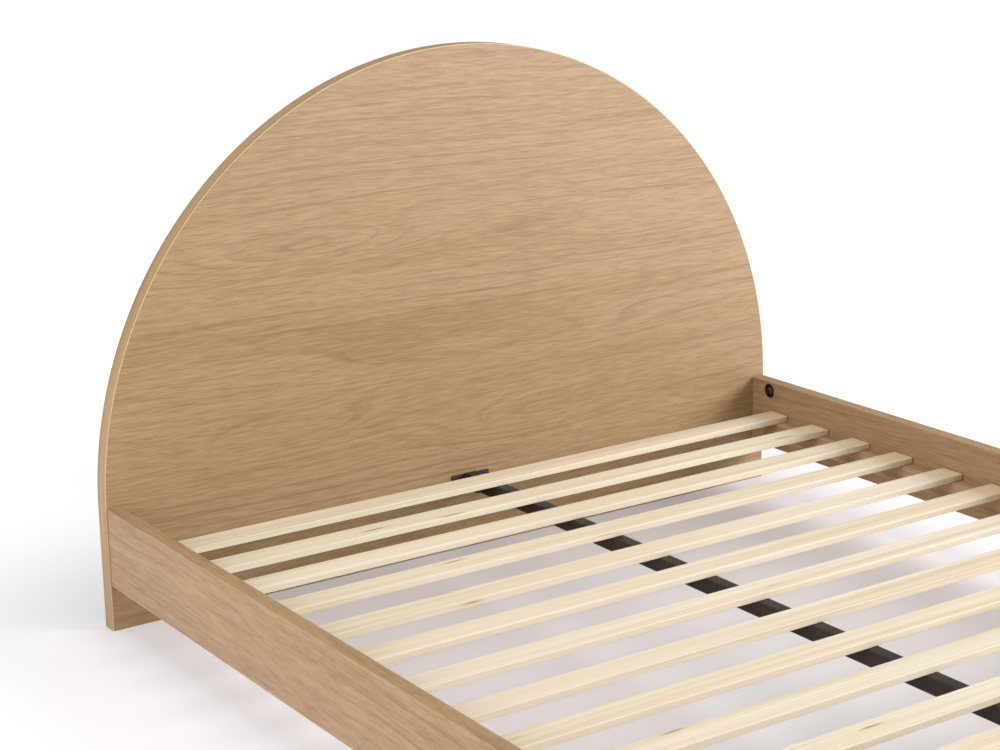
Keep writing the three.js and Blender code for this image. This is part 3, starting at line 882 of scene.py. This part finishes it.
def centre_beam():
    low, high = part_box("centre_beam")
    centre, size = (low + high) / 2, high - low
    wall, ease = BEAM_WALL, BEAM_CUT_EASE
    bm = bmesh.new()
    rings = []
    for inset, y in (
        (ease, low.y), (0, low.y + ease), (0, high.y - ease), (ease, high.y),
        (wall - ease, high.y), (wall, high.y - ease), (wall, low.y + ease), (wall - ease, low.y),
    ):
        loop = rounded_loop(size.x - 2 * inset, size.z - 2 * inset, BEAM_CORNER - inset)
        rings.append([bm.verts.new((centre.x + x, y, centre.z + z)) for x, z in loop])
    for first, second in zip(rings, rings[1:] + rings[:1]):
        ring_strip(bm, first, second)
    obj = to_object(bm, "centre_beam_detail")
    drills = []
    for end in ENDS:
        bolt_low, bolt_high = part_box(f"{end}_beam_bolt")
        y = (bolt_low.y + bolt_high.y) / 2
        bottom, top = low.z - DRILL_OVERRUN, high.z + DRILL_OVERRUN
        drills.append(rod(BEAM_BOLT_HOLE, (centre.x, y, bottom), (centre.x, y, top)))
    boolean(obj, drills)
    return finish_piece(obj, BLACK, ["centre_beam"])


def cradle_outline(half_width, floor):
    """The cradle's section round the beam: a U that is bent up at both sides."""
    outer, inner, steps = BRACKET_OUTER_BEND, BRACKET_INNER_BEND, 6
    out_x, out_z = half_width - outer, floor + outer
    in_x, in_z = half_width - BRACKET_STEEL - inner, floor + BRACKET_STEEL + inner
    return [
        (-half_width, CRADLE_TOP),
        *arc((-out_x, out_z), outer, 180, 270, steps),
        *arc((out_x, out_z), outer, 270, 360, steps),
        (half_width, CRADLE_TOP),
        (half_width - BRACKET_STEEL, CRADLE_TOP),
        *arc((in_x, in_z), inner, 360, 270, steps),
        *arc((-in_x, in_z), inner, 270, 180, steps),
        (BRACKET_STEEL - half_width, CRADLE_TOP),
    ]


def beam_bracket(end):
    """A screwed plate with a welded cradle that is bent up on both sides of the beam."""
    name = f"{end}_beam_bracket"
    low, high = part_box(name)
    beam_low, beam_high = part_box("centre_beam")
    face, tip = (high.y, low.y) if end == "head" else (low.y, high.y)
    out = -ENDS[end]                            # away from the panel
    middle = (beam_low.x + beam_high.x) / 2
    half_width = (beam_high.x - beam_low.x) / 2 + CRADLE_GAP + BRACKET_STEEL
    outline = cradle_outline(half_width, beam_low.z - BRACKET_STEEL)
    bm = extruded(outline, face + out * BRACKET_STEEL / 2, tip, lambda p, y: (middle + p[0], y, p[1]))
    cradle = to_object(bm, name + "_detail")

    back, front = sorted((face, face + out * BRACKET_STEEL))
    centre, size = (low + high) / 2, high - low
    outline = rounded_loop(size.x, size.z, BRACKET_CORNER)
    bm = extruded(outline, back, front, lambda p, y: (centre.x + p[0], y, centre.z + p[1]))
    boolean(cradle, [to_object(bm, "plate")], "UNION")
    drills = []
    for side in SIDES:
        screw_low, screw_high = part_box(f"{end}_bracket_{side}_screw")
        x, z = (screw_low.x + screw_high.x) / 2, (screw_low.z + screw_high.z) / 2
        drills.append(rod(SCREW_HOLE, (x, back - DRILL_OVERRUN, z), (x, front + DRILL_OVERRUN, z)))
    boolean(cradle, drills)
    bevel = cradle.modifiers.new("bevel", "BEVEL")
    bevel.width = BRACKET_BEVEL
    bevel.segments = 2
    bevel.limit_method = "ANGLE"
    bevel.angle_limit = radians(50)
    settle(cradle)
    return finish_piece(cradle, BLACK, [name])


def small_box(low, high):
    """A plain box, used as a cutter."""
    bm = bmesh.new()
    centre, size = (low + high) / 2, high - low
    matrix = Matrix.Translation(centre) @ Matrix.Diagonal((*size, 1))
    bmesh.ops.create_cube(bm, size=1, matrix=matrix)
    return to_object(bm, "cutter")


def cross_cutters(reach, half_width, bottom, top):
    """Two crossed boxes that cut a screwdriver cross. Sizes in millimetres."""
    cutters = []
    for x, y in ((reach, half_width), (half_width, reach)):
        cutters.append(small_box(Vector((-x, -y, bottom)) * MM, Vector((x, y, top)) * MM))
    return cutters


def bracket_screw(end, side):
    """A pan-head screw with a cross recess, standing on the bracket's plate."""
    name = f"{end}_bracket_{side}_screw"
    low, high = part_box(name)
    height = 2.8                                # of the head, in millimetres
    shank = millimetres([(0, -20), (1.2, -18.5), (2.2, -16)])
    head = millimetres([(2.2, 0), (4.2, 0), (4.2, 1.0), (3.2, 2.3), (0, height)])
    obj = to_object(turned(shank + eased(head, 0.5 * MM), 40), name + "_detail")
    boolean(obj, cross_cutters(2.1, 0.45, 1.2, 4))
    out = -ENDS[end]
    seat = (low.y if out < 0 else high.y) - out * height * MM
    place(obj, aimed(((low.x + high.x) / 2, seat, (low.z + high.z) / 2), (0, out, 0)))
    return finish_piece(obj, ZINC, [name])


def beam_bolt(end):
    """A domed socket-head bolt down through the beam."""
    name = f"{end}_beam_bolt"
    low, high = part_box(name)
    centre = (low + high) / 2
    height = 3.5                                # of the head, in millimetres
    seat = high.z - height * MM
    length = (seat - low.z) / MM
    shank = millimetres([(0, -length), (3.4, -length), (4, 1 - length)])
    head = millimetres([(4, 0), (6.5, 0), (6.5, 0.8), (4.8, 2.7), (0, height)])
    obj = to_object(turned(shank + eased(head, 0.8 * MM), 48), name + "_detail")
    socket = turned(millimetres([(0, 0.8), (2.5, 0.8), (2.5, 5), (0, 5)]), 6)
    boolean(obj, [to_object(socket, "socket")])
    place(obj, Matrix.Translation((centre.x, centre.y, seat)))
    return finish_piece(obj, BLACK, [name])


def beam_nut(end):
    """A hexagon nut with chamfered corners, tight under the beam."""
    name = f"{end}_beam_nut"
    low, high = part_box(name)
    centre = (low + high) / 2
    radius = (high.y - low.y) / 2
    height = high.z - low.z
    obj = to_object(turned([(0, 0), (radius, 0), (radius, height), (0, height)], 6), name + "_detail")
    chamfer = 0.9 * MM
    slope = chamfer * 1.6
    cone = turned([
        (0, 0), (radius - chamfer, 0), (radius + MM, slope), (radius + MM, height - slope),
        (radius - chamfer, height), (0, height),
    ], 48)
    boolean(obj, [to_object(cone, "cone")], "INTERSECT")
    place(obj, Matrix.Translation((centre.x, centre.y, low.z)))
    bottom, top = low.z - DRILL_OVERRUN, high.z + DRILL_OVERRUN
    boolean(obj, [rod(BEAM_BOLT_HOLE, (centre.x, centre.y, bottom), (centre.x, centre.y, top), 32)])
    return finish_piece(obj, BLACK, [name])


# ------------------------------------------------------------------ cam locks

CAM_RADIUS = 15.5 * MM
CAM_LENGTH = 19 * MM
CAM_TURN = 165              # degrees from locked to open
CAM_BOLT_DEPTH = 11 * MM    # the bolt's axis below the cam's face
CAM_CORE = 5.5 * MM         # the middle that the bolt's head runs round
CAM_CHAMBER = 10.2 * MM     # outer radius of the room for the bolt's head
CAM_CHAMBER_WIDTH = 10.4 * MM
CAM_SLOT_WIDTH = 6.4 * MM   # the slot in the outside that the bolt's neck runs in
CAM_MOUTH_RADIUS = 5.2 * MM
CAM_BOSS = 7.5 * MM         # the paler middle with the screwdriver cross
CAM_GROOVE = 1.2 * MM       # width and depth of the groove round the boss
CAM_RIM = 1.5 * MM
CAM_COLLAR_DEPTH = 1.6 * MM


def cam_sector(inner, outer, width, margin):
    """A ring sector round Z that clears the bolt through the cam's turn, used as a cutter."""
    start, stop, steps = -CAM_TURN - margin, margin, 40
    outline = arc((0, 0), outer, start, stop, steps) + arc((0, 0), inner, stop, start, steps)
    bottom = -CAM_BOLT_DEPTH - width / 2
    return to_object(extruded(outline, bottom, bottom + width, lambda p, z: (*p, z)), "sector")


def cam_mesh():
    """The cam about Z with its face at z = 0. At rest the bolt comes in along +X."""
    collar = -CAM_COLLAR_DEPTH
    inner_rim, outer_rim = CAM_BOSS + CAM_GROOVE, CAM_RADIUS - CAM_RIM
    face = eased([
        (0, 0), (CAM_BOSS, 0), (CAM_BOSS, collar - CAM_GROOVE), (inner_rim, collar - CAM_GROOVE),
        (inner_rim, collar), (outer_rim, collar), (outer_rim, 0), (CAM_RADIUS, 0),
        (CAM_RADIUS, -CAM_LENGTH), (0, -CAM_LENGTH),
    ], 0.4 * MM)
    obj = to_object(turned(face, BORE_STEPS), "cam")
    open_angle = radians(-CAM_TURN)
    away = Vector((cos(open_angle), sin(open_angle), 0))
    depth = Vector((0, 0, -CAM_BOLT_DEPTH))
    outside = CAM_RADIUS + DRILL_OVERRUN
    boolean(obj, [
        cam_sector(CAM_CORE, CAM_CHAMBER, CAM_CHAMBER_WIDTH, 42),
        cam_sector(CAM_CHAMBER - 0.5 * MM, outside, CAM_SLOT_WIDTH, 20),
        rod(CAM_MOUTH_RADIUS, away * CAM_CORE + depth, away * outside + depth, 32),
        *cross_cutters(7, 1.1, -3, 1),
    ])
    return obj


def cam_locks():
    """The eight cams: one mesh, turned to each of its places, each riding on its own body."""
    pattern = cam_mesh()
    for side, sign in SIDES.items():
        for end, level, face in cam_places(side):
            name = f"{end}_{side}_{level}_cam"
            towards_panel = Vector((0, ENDS[end], 0))
            out_of_rail = Vector((-sign, 0, 0))
            turn = Matrix((towards_panel, out_of_rail.cross(towards_panel), out_of_rail))
            obj = bpy.data.objects.new(name + "_detail", pattern.data.copy())
            bpy.context.scene.collection.objects.link(obj)
            place(obj, Matrix.Translation(face) @ turn.transposed().to_4x4())
            finish_piece(obj, [ZINC, DARK_ZINC], [name + "_lock"], name)
            for polygon in obj.data.polygons:
                off = polygon.center - face
                if hypot(off.y, off.z) > CAM_BOSS + TOLERANCE:
                    polygon.material_index = 1
    mesh = pattern.data
    bpy.data.objects.remove(pattern)
    bpy.data.meshes.remove(mesh)


# ------------------------------------------------------------------ hidden pieces that stay as they are

def refinish(names, material):
    """Gives CAD nodes that keep their shape a better material."""
    for name in names:
        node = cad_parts[name]
        node.data.materials.clear()
        node.data.materials.append(material)


# ------------------------------------------------------------------ studio

def white_floor():
    """Pale floor round the bed that brightens into a glowing white sweep further away: painted light,
    which leaves a painted soft shadow on the floor near the bed.
    """
    s = Surface("studio_floor")
    spot = s.node("TexCoord", {}, 3)
    x, y, _ = s.split(spot)
    half_width, half_length = 0.8, 1.05         # the bed's footprint
    beside = s.math("MAXIMUM", s.math("SUBTRACT", s.math("ABSOLUTE", x), half_width), 0.0)
    beyond = s.math("MAXIMUM", s.math("SUBTRACT", s.math("ABSOLUTE", y), half_length), 0.0)
    square = s.math("ADD", s.math("MULTIPLY", beside, beside), s.math("MULTIPLY", beyond, beyond))
    away = s.math("SQRT", square)
    clouds = s.noise(spot, 0.8, 2.0)
    colour = s.ramp(clouds, [(0.3, (0.845, 0.835, 0.865, 1)), (0.7, (0.865, 0.85, 0.885, 1))])
    # Painted light: the emission grows with distance from the bed's footprint, so the floor close to
    # the bed keeps a painted shadow.
    glow = s.math("ADD", s.span(away, 0.05, 0.8, 0.0, 0.24), s.span(away, 0.7, 3.0, 0.0, 0.34))
    s.put(s.join(glow, glow, s.math("MULTIPLY", glow, 1.02)), s.shader.inputs["Emission Color"])
    return s.finish(colour, 0.6, Specular_IOR_Level=0.2, Emission_Strength=1.0)


def add_floor():
    half = 60.0
    bm = bmesh.new()
    corners = [(-half, -half), (half, -half), (half, half), (-half, half)]
    bm.faces.new([bm.verts.new((x, y, 0)) for x, y in corners])
    floor = to_object(bm, "studio_floor")
    floor.data.materials.append(white_floor())


def add_world():
    world = bpy.data.worlds.new("studio")
    bpy.context.scene.world = world
    world.use_nodes = True
    background = world.node_tree.nodes["Background"]
    background.inputs["Color"].default_value = (1.0, 1.0, 1.0, 1.0)
    background.inputs["Strength"].default_value = 0.5


def add_light(name, place_at, target, size, power):
    data = bpy.data.lights.new(name, "AREA")
    data.shape = "DISK"
    data.size = size
    data.energy = power
    light = bpy.data.objects.new(name, data)
    direction = Vector(target) - Vector(place_at)
    light.matrix_world = Matrix.Translation(place_at) @ \
        direction.to_track_quat("-Z", "Y").to_matrix().to_4x4()
    bpy.context.scene.collection.objects.link(light)


def add_lights():
    """Soft boxes at the front right, at the left and overhead."""
    add_light("front_right", (4.0, -3.2, 2.2), (0.3, 0.6, 0.4), 2.5, 360)
    add_light("left", (-4.0, 0.2, 1.6), (0, 0.2, 0.3), 2.5, 102)
    add_light("overhead", (0.0, 0.5, 4.5), (0, 0.3, 0), 5.0, 76)


def add_camera():
    place_at = (-2.29444, -2.49162, 1.48690)
    yaw, pitch, roll = radians(34.1054), radians(-14.9487), radians(-0.8305)
    data = bpy.data.cameras.new("camera")
    data.lens = 76.834
    data.sensor_width = 36
    camera = bpy.data.objects.new("camera", data)
    camera.matrix_world = (
        Matrix.Translation(place_at)
        @ Matrix.Rotation(-yaw, 4, "Z")
        @ Matrix.Rotation(pi / 2 + pitch, 4, "X")
        @ Matrix.Rotation(roll, 4, "Z")
    )
    bpy.context.scene.collection.objects.link(camera)
    bpy.context.scene.camera = camera


# ------------------------------------------------------------------ the bed

headboard_panel()
headboard_edge_band()
foot_panel()
foot_panel_edge_band()
for side in SIDES:
    side_rail(side)
    ledger(side)
for number in range(1, 16):
    slat(number)
centre_beam()
for end in ENDS:
    beam_bracket(end)
    for side in SIDES:
        bracket_screw(end, side)
    beam_bolt(end)
    beam_nut(end)
cam_locks()
refinish([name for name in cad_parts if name.endswith("_cam_bolt")], ZINC)
refinish([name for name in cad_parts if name.endswith("_dowel")], DOWEL)

add_floor()
add_world()
add_lights()
add_camera()
bpy.context.scene.view_settings.view_transform = "Standard"
